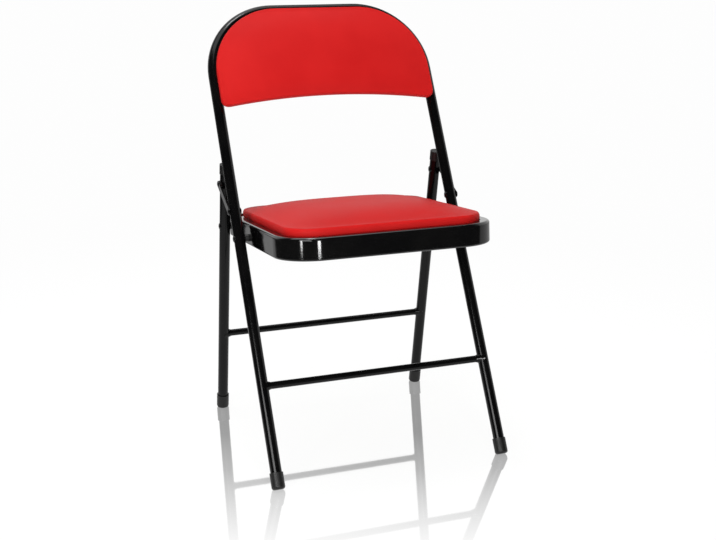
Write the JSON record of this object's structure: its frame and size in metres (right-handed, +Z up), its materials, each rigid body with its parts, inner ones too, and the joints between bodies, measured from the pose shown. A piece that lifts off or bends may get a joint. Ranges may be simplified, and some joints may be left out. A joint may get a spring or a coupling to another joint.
{
  "type": "folding chair",
  "caption": "Folding conference chair: bent black steel tube frame, red padded seat in a pressed pan, red padded back, crossbars, and strap links that fold it flat.",
  "frame": {"origin": "on the floor, under the middle of the open chair's bounding box", "axes": "+X to the right seen from the front, +Y to the back, +Z up"},
  "size_m": [0.4482, 0.4598, 0.783],
  "materials": {
    "black_paint": "gloss black enamel on steel",
    "red_vinyl": "fine-grained red vinyl over foam",
    "cap_plastic": "black moulded caps, satin",
    "spacer_plastic": "black nylon",
    "rivet_steel": "black painted rivet heads",
    "screw_steel": "zinc-plated screws",
    "board_wood": "plain plywood"
  },
  "bodies": {
    "front_frame": {"frame_tube": "black_paint", "front_crossbar": "black_paint", "front_foot_left": "cap_plastic", "front_foot_right": "cap_plastic", "seat_pivot_rivets": "rivet_steel", "strap_root_rivets": "rivet_steel", "back_panel": "black_paint", "back_board": "board_wood", "back_cushion": "red_vinyl", "back_screws": "screw_steel"},
    "seat": {"seat_pan": "black_paint", "seat_bracket_left": "black_paint", "seat_bracket_right": "black_paint", "seat_board": "board_wood", "seat_cushion": "red_vinyl", "seat_screws": "screw_steel", "seat_pivot_spacers": "spacer_plastic", "leg_pivot_spacers": "spacer_plastic"},
    "rear_legs": {"rear_leg_left": "black_paint", "rear_leg_right": "black_paint", "rear_crossbar": "black_paint", "rear_foot_left": "cap_plastic", "rear_foot_right": "cap_plastic", "rear_tip_caps": "cap_plastic", "leg_pivot_rivets": "rivet_steel", "leg_top_rivets": "rivet_steel", "leg_top_spacers": "spacer_plastic"},
    "strap_link_left": {"strap_left": "black_paint", "strap_rivet_left": "rivet_steel"},
    "strap_link_right": {"strap_right": "black_paint", "strap_rivet_right": "rivet_steel"}
  },
  "joints": [
    {"name": "seat_fold", "type": "hinge", "parent": "front_frame", "child": "seat", "pos_m": [0, 0.0032, 0.39], "axis": [-1, 0, 0], "range_deg": [0, 107.21]},
    {"name": "leg_fold", "type": "hinge", "parent": "seat", "child": "rear_legs", "pos_m": [0, 0.11821, 0.38797], "axis": [1, 0, 0], "range_deg": [0, 66.71]},
    {"name": "strap_fold_left", "type": "hinge", "parent": "front_frame", "child": "strap_link_left", "pos_m": [0, 0.02832, 0.43439], "axis": [-1, 0, 0], "range_deg": [0, 130.05]},
    {"name": "strap_fold_right", "type": "hinge", "parent": "front_frame", "child": "strap_link_right", "pos_m": [0, 0.02832, 0.43439], "axis": [-1, 0, 0], "range_deg": [0, 130.05]}
  ],
  "couplings": [
    {"joint": "leg_fold", "follows": "seat_fold", "ratio": 0.62223},
    {"joint": "strap_fold_left", "follows": "seat_fold", "ratio": 1.2131},
    {"joint": "strap_fold_right", "follows": "seat_fold", "ratio": 1.2131}
  ]
}
